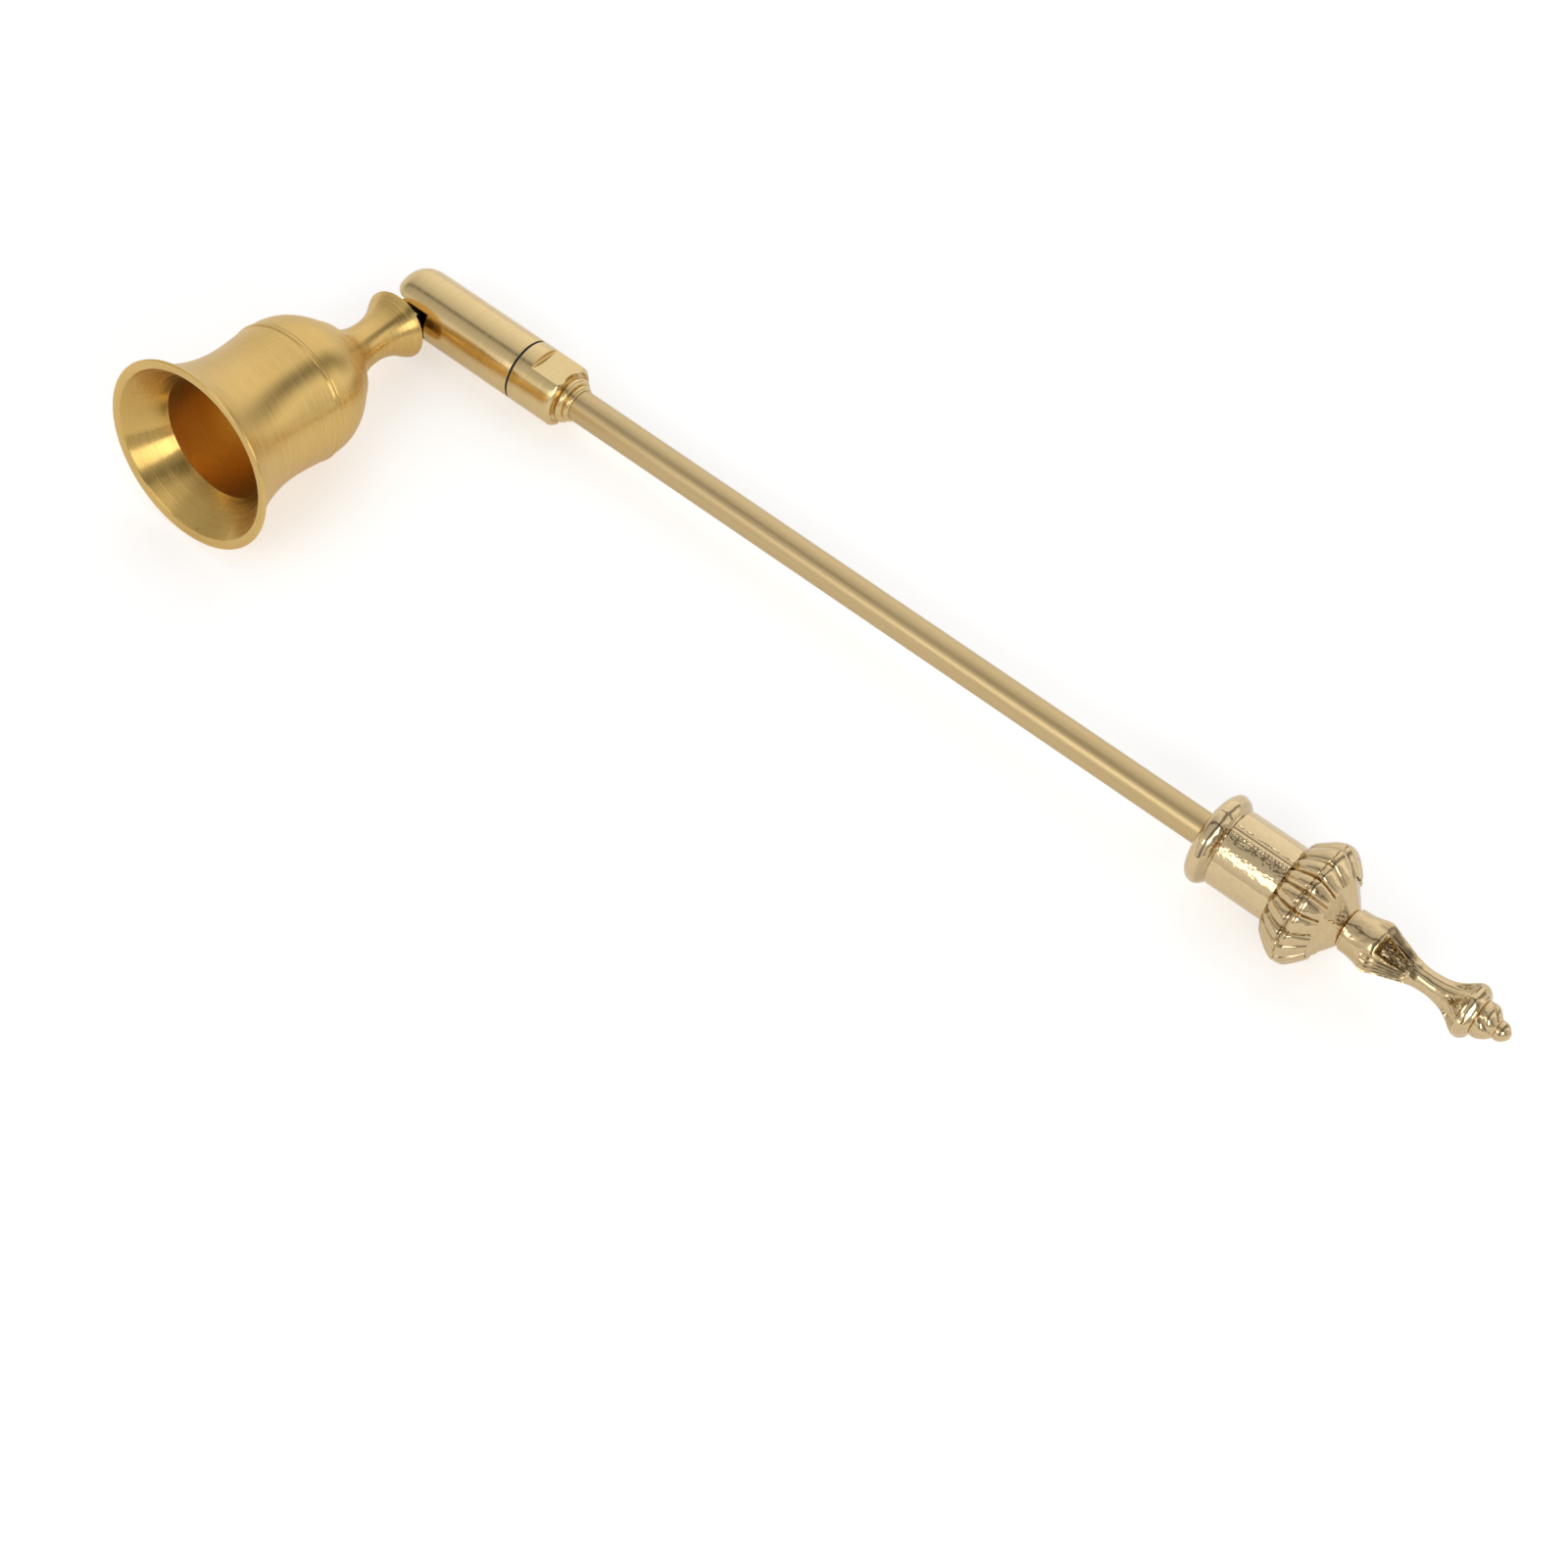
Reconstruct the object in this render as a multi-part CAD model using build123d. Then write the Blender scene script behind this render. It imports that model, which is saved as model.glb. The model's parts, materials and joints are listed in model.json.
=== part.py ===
from build123d import *
from math import acos, asin, atan2, cos, hypot, pi, radians, sin, sqrt, tan
import os

# Candle snuffer with a turned bell on a swivelling, folding head.
# All sizes are millimetres. The model is drawn with the bell's pivot at the origin, the rod along +X,
# the bell hanging along -Y and the pivot pin along Z, and is laid on a table at the end.

# Bell cup
neck_end_reach = 7.3            # pivot to the neck's flat end
neck_length = 13.6              # flat end of the neck to its seat on the cup
dome_length = 9.1               # seat of the neck to the shoulder of the cup
skirt_length = 21.0             # shoulder of the cup to its mouth
shoulder_radius = 11.07
waist_radius = 10.63
waist_from_shoulder = 7.3
mouth_radius = 15.15
bell_wall = 0.85                # wall at the waist
crown_thickness = 1.6
crown_radius = 6.95             # flat top of the cup, under the neck
crown_inner_radius = 5.2
ridge_from_shoulder = 0.9       # fine bead below the shoulder
ridge_width = 0.7
ridge_height = 0.14
flare_depth = 5.9               # mouth to the sharp end of the bore
flare_sag = 0.3
lip_width = 1.55
lip_bevel = 0.6
lip_flat = 0.4                  # narrow flat ring that the bell can stand on
lip_round = 0.45
lip_thickness = 0.85
lip_overhang = 0.75

# Bell neck and hinge tongue
neck_end_radius = 5.48
neck_edge_round = 0.28
neck_waist_radius = 3.2
neck_waist_from_end = 6.0
neck_foot_step = 0.12           # fine step from the cup's top in to the neck's foot
neck_spigot_radius = 2.0
tongue_thickness = 3.6
tongue_half_width = 1.9
tongue_spigot_radius = 1.6
tongue_spigot_length = 4.6

# Rod, and the plug and ring round its front end
rod_radius = 2.5
rod_length = 124.0
plug_wall = 0.78
plug_length = 2.15              # part of the plug inside the collar
plug_flange_step = 0.4
plug_flange_length = 1.2
plug_flange_round = 0.5
ring_height = 0.5
ring_length = 0.9
ring_round = 0.35

# Collar and swivel
collar_wall = 0.7               # wall between the collar's bore and its flats
collar_flat_depth = 0.98
collar_front_wall = 2.95
collar_flat_start = 2.45        # front of the collar to the shoulder of its flats
collar_chamfer = 0.45
swivel_washer_thickness = 0.35
swivel_washer_inset = 0.18
stud_radius = 1.55
stud_grip = 7.4                 # length of the stud inside the barrel
stud_head_length = 1.5
stud_slot_width = 0.6
stud_slot_depth = 0.5
spring_height = 0.9
spring_thickness = 0.4

# Barrel of the head, pivot pin and friction washers
barrel_tip_reach = 4.75         # pivot to the rounded tip
barrel_tip_flat = 0.98
barrel_back_reach = 19.6        # pivot to the swivel face
barrel_edge = 0.15
slot_back_wall = 1.58
pin_radius = 1.2
pin_recess = 0.16
washer_thickness = 0.5

# Handle
sleeve_length = 13.55
sleeve_radius = 5.92
flange_radius = 7.1
flange_length = 3.6
rod_in_sleeve = 5.25
knop_lobes = 18
knop_front_length = 4.5         # sleeve to the widest place
knop_back_length = 2.4          # widest place to the faceted cone
knop_cone_length = 3.2
knop_radius = 9.8
knop_back_radius = 8.15
knop_crease_ratio = 0.955       # radius in a crease, as a share of the lobe's radius
knop_cone_sides = 9
knop_turn = 11.5                # degrees about the rod
finial_sides = 6
finial_turn = 34.0
finial_leaf_length = 4.7
finial_stem_length = 7.9        # leaf to waist
finial_flare_length = 7.0       # waist to bulb
finial_bulb_back = 1.6
bead_length = 2.9
tip_bead_length = 2.0
finial_base_radius = 3.1
finial_leaf_radius = 3.95
finial_waist_radius = 1.7
finial_bulb_radius = 4.15
finial_flute_ratio = 0.79       # hollow between two ribs, as a share of the rib's radius
finial_round_ratio = 0.94       # the same at the slim waist, where the ribs fade
bead_radius = 2.8
tip_bead_radius = 1.5
tie_radius = 1.5
tie_in_rod = 7.0
tie_in_finial = 4.0

# Swell of the cast handle between its named places: shares of the length and of the change in radius
knop_front_swell = [(0.27, 0.36), (0.56, 0.75), (0.81, 0.95)]
knop_back_swell = [(0.5, 0.18)]
leaf_swell = [(0.5, 0.3)]
stem_swell = [(0.24, 0.34), (0.62, 0.78)]
flare_swell = [(0.45, 0.18), (0.72, 0.5)]

# Clearances
running_gap = 0.05              # sliding faces, and a pin or shaft in its hole
seat_gap = 0.01                 # threads and pressed fits
rod_gap = 0.4                   # stud head to the end of the rod
head_gap = 0.7                  # stud head to the collar's bore
spring_gap = 0.3                # disc spring to the collar's bore
slot_gap = 0.2                  # friction washer to the round end of the slot
hub_step = 0.4                  # hub of the tongue inside the washer's edge

# Radii about the rod, from the rod outwards
collar_bore_radius = rod_radius + plug_wall + 2 * seat_gap
collar_flat_reach = collar_bore_radius + collar_wall
barrel_radius = collar_flat_reach + collar_flat_depth
plug_flange_radius = collar_bore_radius + plug_flange_step
ring_radius = rod_radius + ring_height
stud_head_radius = collar_bore_radius - head_gap
spring_radius = collar_bore_radius - spring_gap
swivel_washer_radius = barrel_radius - swivel_washer_inset
slot_end_radius = barrel_radius - slot_back_wall
washer_radius = slot_end_radius - slot_gap
tongue_hub_radius = washer_radius - hub_step
bore_radius = waist_radius - bell_wall
neck_foot_radius = crown_radius - neck_foot_step

# Places along the bell axis, from the pivot
neck_waist_reach = neck_end_reach + neck_waist_from_end
seat_reach = neck_end_reach + neck_length
shoulder_reach = seat_reach + dome_length
mouth_reach = shoulder_reach + skirt_length
crown_inner_reach = seat_reach + crown_thickness

# Places along the rod axis, from the pivot
slot_half_width = tongue_thickness / 2 + washer_thickness + 2 * running_gap
collar_front = barrel_back_reach + swivel_washer_thickness + 2 * running_gap
collar_inner_face = collar_front + collar_front_wall
stud_head_front = collar_inner_face + spring_height + running_gap
stud_head_back = stud_head_front + stud_head_length
rod_start = stud_head_back + rod_gap
collar_back = rod_start + plug_length
flange_end = collar_back + plug_flange_length
ring_end = flange_end + ring_length
rod_end = rod_start + rod_length
sleeve_start = rod_end - rod_in_sleeve
sleeve_end = sleeve_start + sleeve_length
knop_crest = sleeve_end + knop_front_length
cone_start = knop_crest + knop_back_length
knop_end = cone_start + knop_cone_length
leaf_place = knop_end + finial_leaf_length
waist_place = leaf_place + finial_stem_length
bulb_place = waist_place + finial_flare_length
bead_start = bulb_place + finial_bulb_back
bead_end = bead_start + bead_length
finial_end = bead_end + tip_bead_length


def spin_on_rod(*edges):
    """Turned piece on the rod axis, from edges drawn as (place along the rod, radius)."""
    return revolve(make_face(edges), Axis.X)


def spin_on_bell(*edges):
    """Turned piece on the bell axis, from edges drawn as (radius, minus the reach)."""
    return revolve(make_face(edges), Axis.Y)


def tube_on_rod(start, end, outer, inner):
    """Plain sleeve on the rod axis."""
    corners = [(start, inner), (end, inner), (end, outer), (start, outer)]
    return spin_on_rod(Polyline(corners, close=True))


def round_on_rod(start, end, radius):
    """Plain round bar or drill on the rod axis."""
    corners = [(start, 0), (end, 0), (end, radius), (start, radius)]
    return spin_on_rod(Polyline(corners, close=True))


def make_bell_cup():
    lip_inner = (mouth_radius - lip_width, -(mouth_reach - lip_bevel))
    lip_flat_inner = (mouth_radius - lip_round - lip_flat, -mouth_reach)
    lip_face = (mouth_radius - lip_round, -mouth_reach)
    lip_side = (mouth_radius, -(mouth_reach - lip_round))
    lip_back = (mouth_radius - lip_overhang, -(mouth_reach - lip_thickness))
    waist = (waist_radius, -(shoulder_reach + waist_from_shoulder))
    ridge_reach = shoulder_reach + ridge_from_shoulder
    ridge_low = (shoulder_radius, -(ridge_reach + ridge_width / 2))
    ridge_top = (shoulder_radius + ridge_height, -ridge_reach)
    ridge_high = (shoulder_radius, -(ridge_reach - ridge_width / 2))
    shoulder = (shoulder_radius, -shoulder_reach)
    crown = (crown_radius, -seat_reach)
    hole_top = (neck_spigot_radius + seat_gap, -seat_reach)
    hole_bottom = (neck_spigot_radius + seat_gap, -crown_inner_reach)
    inner_crown = (crown_inner_radius, -crown_inner_reach)
    inner_shoulder = (bore_radius, -shoulder_reach)
    bore_edge = (bore_radius, -(mouth_reach - flare_depth))
    return spin_on_bell(
        Polyline([lip_inner, lip_flat_inner, lip_face]),
        TangentArc(lip_face, lip_side, tangent=(1, 0)),
        Line(lip_side, lip_back),
        TangentArc(waist, lip_back, tangent=(0, -1)),
        TangentArc(waist, ridge_low, tangent=(0, 1)),
        ThreePointArc(ridge_low, ridge_top, ridge_high),
        Line(ridge_high, shoulder),
        TangentArc(shoulder, crown, tangent=(0, 1)),
        Line(crown, hole_top),
        Line(hole_top, hole_bottom),
        Line(hole_bottom, inner_crown),
        TangentArc(inner_shoulder, inner_crown, tangent=(0, 1)),
        Line(inner_shoulder, bore_edge),
        SagittaArc(bore_edge, lip_inner, -flare_sag),
    )


def make_bell_neck():
    axis_end = (0, -crown_inner_reach)
    spigot_end = (neck_spigot_radius, -crown_inner_reach)
    spigot_root = (neck_spigot_radius, -seat_reach)
    foot = (neck_foot_radius, -seat_reach)
    waist = (neck_waist_radius, -neck_waist_reach)
    edge_low = (neck_end_radius, -(neck_end_reach + neck_edge_round))
    edge_high = (neck_end_radius - neck_edge_round, -neck_end_reach)
    socket_radius = tongue_spigot_radius + seat_gap
    socket_top = (socket_radius, -neck_end_reach)
    socket_bottom = (socket_radius, -(neck_end_reach + tongue_spigot_length))
    axis_top = (0, -(neck_end_reach + tongue_spigot_length))
    return spin_on_bell(
        Polyline([axis_top, axis_end, spigot_end, spigot_root, foot]),
        TangentArc(waist, foot, tangent=(0, -1)),
        TangentArc(waist, edge_low, tangent=(0, 1)),
        TangentArc(edge_low, edge_high, tangent=(0, 1)),
        Polyline([edge_high, socket_top, socket_bottom, axis_top]),
    )


def make_hinge_tongue():
    hub = Cylinder(tongue_hub_radius, tongue_thickness)
    from_pivot = (Align.CENTER, Align.MAX, Align.CENTER)
    blade = Box(2 * tongue_half_width, neck_end_reach, tongue_thickness, align=from_pivot)
    spigot_top = (0, -neck_end_reach)
    spigot_bottom = (0, -(neck_end_reach + tongue_spigot_length))
    spigot = spin_on_bell(Polyline(
        [spigot_top, (tongue_spigot_radius, -neck_end_reach),
         (tongue_spigot_radius, -(neck_end_reach + tongue_spigot_length)), spigot_bottom],
        close=True,
    ))
    eye = Cylinder(pin_radius + running_gap, 2 * tongue_thickness)
    return hub + blade + spigot - eye


def make_slot_cutter():
    """Slot of the barrel, open on the bell's side and at the tip, round about the pivot inside."""
    far = 2 * barrel_tip_reach + 2 * barrel_radius
    width = 2 * slot_half_width
    quarter = Box(far, far, width, align=(Align.MAX, Align.MAX, Align.CENTER))
    round_end = Cylinder(slot_end_radius, width)
    return round_end + Pos(slot_end_radius, 0, 0) * quarter + Pos(0, slot_end_radius, 0) * quarter


def make_barrel():
    tip_end = barrel_radius - barrel_tip_flat - barrel_tip_reach
    back_edge = (barrel_back_reach - barrel_edge, barrel_radius)
    back_face = (barrel_back_reach, barrel_radius - barrel_edge)
    tip = (-barrel_tip_reach, barrel_tip_flat)
    body = spin_on_rod(
        TangentArc((tip_end, barrel_radius), tip, tangent=(-1, 0)),
        Polyline([tip, (-barrel_tip_reach, 0), (barrel_back_reach, 0), back_face, back_edge,
                  (tip_end, barrel_radius)]),
    )
    stud_hole = round_on_rod(barrel_back_reach - stud_grip, barrel_back_reach, stud_radius + seat_gap)
    pin_hole = Cylinder(pin_radius + seat_gap, 4 * barrel_radius)
    return body - make_slot_cutter() - stud_hole - pin_hole


def make_pivot_pin():
    return Cylinder(pin_radius, 2 * (barrel_radius - pin_recess))


def make_friction_washer(side):
    middle = tongue_thickness / 2 + running_gap + washer_thickness / 2
    disc = Cylinder(washer_radius, washer_thickness) - Cylinder(pin_radius + seat_gap, washer_thickness)
    return Pos(0, 0, side * middle) * disc


def make_swivel_washer():
    start = barrel_back_reach + running_gap
    end = start + swivel_washer_thickness
    return tube_on_rod(start, end, swivel_washer_radius, stud_radius + running_gap)


def make_end_collar():
    body = spin_on_rod(Polyline(
        [(collar_front, stud_radius + running_gap), (collar_front, barrel_radius - barrel_edge),
         (collar_front + barrel_edge, barrel_radius), (collar_back - collar_chamfer, barrel_radius),
         (collar_back, barrel_radius - collar_chamfer), (collar_back, collar_bore_radius),
         (collar_inner_face, collar_bore_radius), (collar_inner_face, stud_radius + running_gap)],
        close=True,
    ))
    flat_length = collar_back - collar_front - collar_flat_start
    flat_middle = collar_back - flat_length / 2
    slice_size = barrel_radius
    for side in (-1, 1):
        slab = Box(flat_length, 4 * barrel_radius, slice_size)
        body -= Pos(flat_middle, 0, side * (collar_flat_reach + slice_size / 2)) * slab
    return body


def make_swivel_stud():
    shank = round_on_rod(barrel_back_reach - stud_grip, stud_head_front, stud_radius)
    head = round_on_rod(stud_head_front, stud_head_back, stud_head_radius)
    driver_slot = Box(2 * stud_slot_depth, 4 * stud_head_radius, stud_slot_width)
    return shank + head - Pos(stud_head_back, 0, 0) * driver_slot


def make_disc_spring():
    inner = stud_radius + running_gap
    start = collar_inner_face
    rise = spring_height - spring_thickness
    return spin_on_rod(Polyline(
        [(start + rise, inner), (start + spring_height, inner),
         (start + spring_thickness, spring_radius), (start, spring_radius)],
        close=True,
    ))


def make_collar_plug():
    hole = rod_radius + seat_gap
    shank = collar_bore_radius - seat_gap
    front_low = (collar_back, plug_flange_radius - plug_flange_round)
    front_high = (collar_back + plug_flange_round, plug_flange_radius)
    back_high = (flange_end - plug_flange_round, plug_flange_radius)
    back_low = (flange_end, plug_flange_radius - plug_flange_round)
    return spin_on_rod(
        Polyline([(rod_start, hole), (rod_start, shank), (collar_back, shank), front_low]),
        TangentArc(front_low, front_high, tangent=(0, 1)),
        Line(front_high, back_high),
        TangentArc(back_high, back_low, tangent=(1, 0)),
        Polyline([back_low, (flange_end, hole), (rod_start, hole)]),
    )


def make_rod_ring():
    hole = rod_radius + seat_gap
    round_start = (ring_end - ring_round, ring_radius)
    round_end = (ring_end, ring_radius - ring_round)
    return spin_on_rod(
        Polyline([round_end, (ring_end, hole), (flange_end, hole), (flange_end, ring_radius), round_start]),
        TangentArc(round_start, round_end, tangent=(1, 0)),
    )


def make_rod():
    bar = round_on_rod(rod_start, rod_end, rod_radius)
    return bar - round_on_rod(rod_end - tie_in_rod, rod_end, tie_radius + seat_gap)


def make_handle_sleeve():
    """Cast sleeve: a rounded flange at the rod, then a plain cylinder up to the knop."""
    hole = rod_radius + seat_gap
    tie_hole = tie_radius + seat_gap
    flange_front = (sleeve_start, flange_radius - flange_length / 2)
    flange_crest = (sleeve_start + flange_length / 2, flange_radius)
    flange_back = (sleeve_start + flange_length, sleeve_radius)
    return spin_on_rod(
        Line((sleeve_start, hole), flange_front),
        TangentArc(flange_crest, flange_front, tangent=(-1, 0)),
        TangentArc(flange_crest, flange_back, tangent=(1, 0)),
        Polyline([flange_back, (sleeve_end, sleeve_radius), (sleeve_end, tie_hole),
                  (rod_end, tie_hole), (rod_end, hole), (sleeve_start, hole)]),
    )


def plane_on_rod(place):
    """Plane square to the rod."""
    return Plane(origin=(place, 0, 0), x_dir=(0, 1, 0), z_dir=(1, 0, 0))


def ribbed_section(place, count, turn, corner_radius, middle_radius):
    """Closed outline square to the rod: corners on one radius, joined by arcs through another."""
    step = 2 * pi / count
    edges = []
    for index in range(count):
        angles = [radians(turn) + share * step for share in (index, index + 0.5, index + 1)]
        radii = [corner_radius, middle_radius, corner_radius]
        points = [(radius * cos(angle), radius * sin(angle)) for radius, angle in zip(radii, angles)]
        edges.append(ThreePointArc(*points))
    return plane_on_rod(place) * make_face(edges)


def swelling(start, end, shares):
    """Places and radii between two (place, radius) pairs, start and end included."""
    inner = [(start[0] + along * (end[0] - start[0]), start[1] + across * (end[1] - start[1]))
             for along, across in shares]
    return [start, *inner, end]


def make_handle_knop():
    """Gadrooned knop: rounded lobes with creases between them, closed by a faceted cone."""
    crest = (knop_crest, knop_radius)
    front = swelling((sleeve_end, sleeve_radius), crest, knop_front_swell)
    back = swelling(crest, (cone_start, knop_back_radius), knop_back_swell)
    lobes = loft(
        [ribbed_section(place, knop_lobes, knop_turn, knop_crease_ratio * radius, radius)
         for place, radius in front + back[1:]],
        ruled=True,
    )
    cone_turn = knop_turn + 180 / knop_lobes
    cone_start_radius = knop_crease_ratio * knop_back_radius
    cone = loft([
        plane_on_rod(cone_start) * RegularPolygon(cone_start_radius, knop_cone_sides, rotation=cone_turn),
        plane_on_rod(knop_end) * RegularPolygon(finial_base_radius, knop_cone_sides, rotation=cone_turn),
    ])
    return lobes + cone - round_on_rod(sleeve_end, knop_end, tie_radius + seat_gap)


def make_handle_finial():
    """Cast finial: ribbed leaf, slim waist, fluted flare, and two beads at the tip."""
    leaf = (leaf_place, finial_leaf_radius)
    waist = (waist_place, finial_waist_radius)
    bulb = (bulb_place, finial_bulb_radius)
    places = swelling((knop_end, finial_base_radius), leaf, leaf_swell)
    places += swelling(leaf, waist, stem_swell)[1:]
    places += swelling(waist, bulb, flare_swell)[1:]
    places.append((bead_start, bead_radius))
    sections = []
    for place, radius in places:
        fluted = radius > (finial_base_radius + finial_waist_radius) / 2 and knop_end < place < bead_start
        ratio = finial_flute_ratio if fluted else finial_round_ratio
        sections.append(ribbed_section(place, finial_sides, finial_turn, radius, ratio * radius))
    stem = loft(sections, ruled=True)
    bead_middle = (bead_start + bead_end) / 2
    tip_middle = finial_end - tip_bead_radius
    beads = spin_on_rod(
        Polyline([(finial_end, 0), (bulb_place, 0), (bulb_place, bead_radius), (bead_middle, bead_radius)]),
        TangentArc((bead_middle, bead_radius), (bead_end, tip_bead_radius), tangent=(1, 0)),
        Line((bead_end, tip_bead_radius), (tip_middle, tip_bead_radius)),
        TangentArc((tip_middle, tip_bead_radius), (finial_end, 0), tangent=(1, 0)),
    )
    return stem + beads - round_on_rod(knop_end, knop_end + tie_in_finial, tie_radius + seat_gap)


def make_tie_stud():
    return round_on_rod(rod_end - tie_in_rod, knop_end + tie_in_finial, tie_radius)


pieces = {
    "bell_cup": make_bell_cup(),
    "bell_neck": make_bell_neck(),
    "hinge_tongue": make_hinge_tongue(),
    "pivot_pin": make_pivot_pin(),
    "friction_washer_upper": make_friction_washer(1),
    "friction_washer_lower": make_friction_washer(-1),
    "barrel": make_barrel(),
    "swivel_stud": make_swivel_stud(),
    "disc_spring": make_disc_spring(),
    "swivel_washer": make_swivel_washer(),
    "end_collar": make_end_collar(),
    "collar_plug": make_collar_plug(),
    "rod_ring": make_rod_ring(),
    "rod": make_rod(),
    "handle_sleeve": make_handle_sleeve(),
    "handle_knop": make_handle_knop(),
    "handle_finial": make_handle_finial(),
    "tie_stud": make_tie_stud(),
}

# Lying on a table the snuffer touches at the barrel's tip, the bell's shoulder and the knop.
# The rod slopes up to the handle, and the bell axis slopes up to the mouth.
tip_round_place = barrel_tip_reach - (barrel_radius - barrel_tip_flat)
rod_slope = asin((knop_radius - barrel_radius) / (knop_crest + tip_round_place))
pivot_height = barrel_radius + tip_round_place * sin(rod_slope)
dome_drop = shoulder_radius - crown_radius
dome_arc_radius = (dome_length ** 2 + dome_drop ** 2) / (2 * dome_drop)
dome_arc_height = shoulder_radius - dome_arc_radius
bell_slope = (acos((pivot_height - dome_arc_radius) / hypot(dome_arc_height, shoulder_reach))
              - atan2(shoulder_reach, dome_arc_height))
cross_x = sin(bell_slope) * tan(rod_slope)
cross_y = sqrt(1 - sin(bell_slope) ** 2 - cross_x ** 2)
rod_direction = Vector(cos(rod_slope), 0, sin(rod_slope))
back_direction = Vector(cross_x, cross_y, -sin(bell_slope))
pin_direction = rod_direction.cross(back_direction)
lying = Location(Plane(origin=(0, 0, 0), x_dir=rod_direction, z_dir=pin_direction))
lying_box = Compound(children=[lying * piece for piece in pieces.values()]).bounding_box()
pivot_place = Vector(-lying_box.center().X, -lying_box.center().Y, -lying_box.min.Z)
at_rest = Pos(pivot_place) * lying

os.makedirs("parts", exist_ok=True)
for name, piece in pieces.items():
    export_step(at_rest * piece, f"parts/{name}.step")

print("pivot", tuple(round(value, 4) for value in pivot_place))
print("rod direction", tuple(round(value, 6) for value in rod_direction))
print("pin direction", tuple(round(value, 6) for value in pin_direction))
print("back direction", tuple(round(value, 6) for value in back_direction))
print("size", tuple(round(value, 3) for value in lying_box.size))
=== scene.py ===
import json
import math

import bmesh
import bpy
from mathutils import Matrix, Vector, noise
from mathutils.geometry import interpolate_bezier


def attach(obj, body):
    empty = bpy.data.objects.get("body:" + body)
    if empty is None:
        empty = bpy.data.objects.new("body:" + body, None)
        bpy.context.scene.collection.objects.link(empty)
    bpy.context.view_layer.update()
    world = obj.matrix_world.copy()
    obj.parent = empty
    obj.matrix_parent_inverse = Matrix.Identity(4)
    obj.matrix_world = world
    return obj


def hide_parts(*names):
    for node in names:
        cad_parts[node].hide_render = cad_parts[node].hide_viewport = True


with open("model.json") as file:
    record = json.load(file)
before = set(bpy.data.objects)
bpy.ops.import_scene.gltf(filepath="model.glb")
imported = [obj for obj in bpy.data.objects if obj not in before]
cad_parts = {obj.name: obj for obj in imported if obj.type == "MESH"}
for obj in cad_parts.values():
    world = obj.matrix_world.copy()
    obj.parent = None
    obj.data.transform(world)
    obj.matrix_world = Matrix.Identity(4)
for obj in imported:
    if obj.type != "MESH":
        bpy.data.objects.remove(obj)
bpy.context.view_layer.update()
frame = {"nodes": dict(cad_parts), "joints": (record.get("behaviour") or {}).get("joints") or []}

MM = 0.001
FULL_TURN = 2 * math.pi
ROD_AXIS = (1, 0, 0)
BELL_AXIS = (0, 1, 0)

# The bench frame: pivot at the origin, rod along +X, bell hanging along -Y, pin along +Z, in millimetres
joints = {joint["name"]: joint for joint in frame["joints"]}
pivot = Vector(joints["bell_tilt"]["pos_m"])
along_rod = Vector(joints["head_swivel"]["axis"]).normalized()
along_pin = Vector(joints["bell_tilt"]["axis"]).normalized()
away_from_bell = along_pin.cross(along_rod)
bench_turn = Matrix((along_rod, away_from_bell, along_pin)).transposed()
bench_to_table = Matrix.Translation(pivot) @ bench_turn.to_4x4() @ Matrix.Scale(MM, 4)

# Sizes and places of the shapes, in millimetres from the pivot, and turns in degrees
BARREL_RADIUS = 4.976
FLAT_HEIGHT = 4.0
FLAT_START = 22.5
FLAT_FOOT_ROUND = 0.1
ROD_RADIUS = 2.5
ROD_BORE = 2.51
STUD_BORE = 1.51
SPIGOT_RADIUS = 2.0
SPIGOT_BORE = 2.01
ROD_START = 25.85
ROD_END = 149.85
SLEEVE_END = 158.15
PETAL_START = 69.5
PETAL_WIDTHS = (25, 18, 16, 19, 21, 15, 21, 19, 26)
KNOP_CREST = 162.38
CONE_SIDES = 9
CONE_TURN = 21.5
CONE_REACH = 6.85
LIP_RADIUS = 5.7
KNOP_END = 168.25
RIBS = 6
RIB_TURN = 34.0
BORE_EDGE = 45.05
SLOT_HALF_WIDTH = 2.4
SLOT_ROUND = 3.4


# Outlines

def flow(points, per_gap=6):
    """A smooth run of points through the given ones."""
    keys = [Vector(point).to_3d() for point in points]
    keys = [2 * keys[0] - keys[1], *keys, 2 * keys[-1] - keys[-2]]
    run = []
    for before, start, end, after in zip(keys, keys[1:], keys[2:], keys[3:]):
        leave = start + (end - before) / 6
        arrive = end - (after - start) / 6
        run += interpolate_bezier(start, leave, arrive, end, per_gap + 1)[:-1]
    run.append(keys[-2])
    return [(point.x, point.y) for point in run]


def eased(points, size, count=5):
    """The same line with its inner corners rounded."""
    keys = [Vector(point).to_3d() for point in points]
    run = [keys[0]]
    for before, corner, after in zip(keys, keys[1:], keys[2:]):
        start = corner + (before - corner).normalized() * size
        end = corner + (after - corner).normalized() * size
        run += interpolate_bezier(start, start.lerp(corner, 0.55), end.lerp(corner, 0.55), end, count)
    run.append(keys[-1])
    return [(point.x, point.y) for point in run]


def straight(start, end, count):
    """Evenly spaced points from start to end."""
    first, last = Vector(start), Vector(end)
    return [tuple(first.lerp(last, index / count)) for index in range(count + 1)]


# Shares from 0 to 1 that shape the cast relief

def rising(value, start, end):
    """0 before start, 1 after end, smooth between."""
    share = min(1.0, max(0.0, (value - start) / (end - start)))
    return share * share * (3 - 2 * share)


def within(value, start, end, edge):
    """1 between start and end, with soft edges."""
    return rising(value, start - edge, start + edge) * (1 - rising(value, end - edge, end + edge))


def hump(value, centre, width):
    """A smooth bump of height 1 at the centre."""
    return math.exp(-((value - centre) / width) ** 2)


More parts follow.
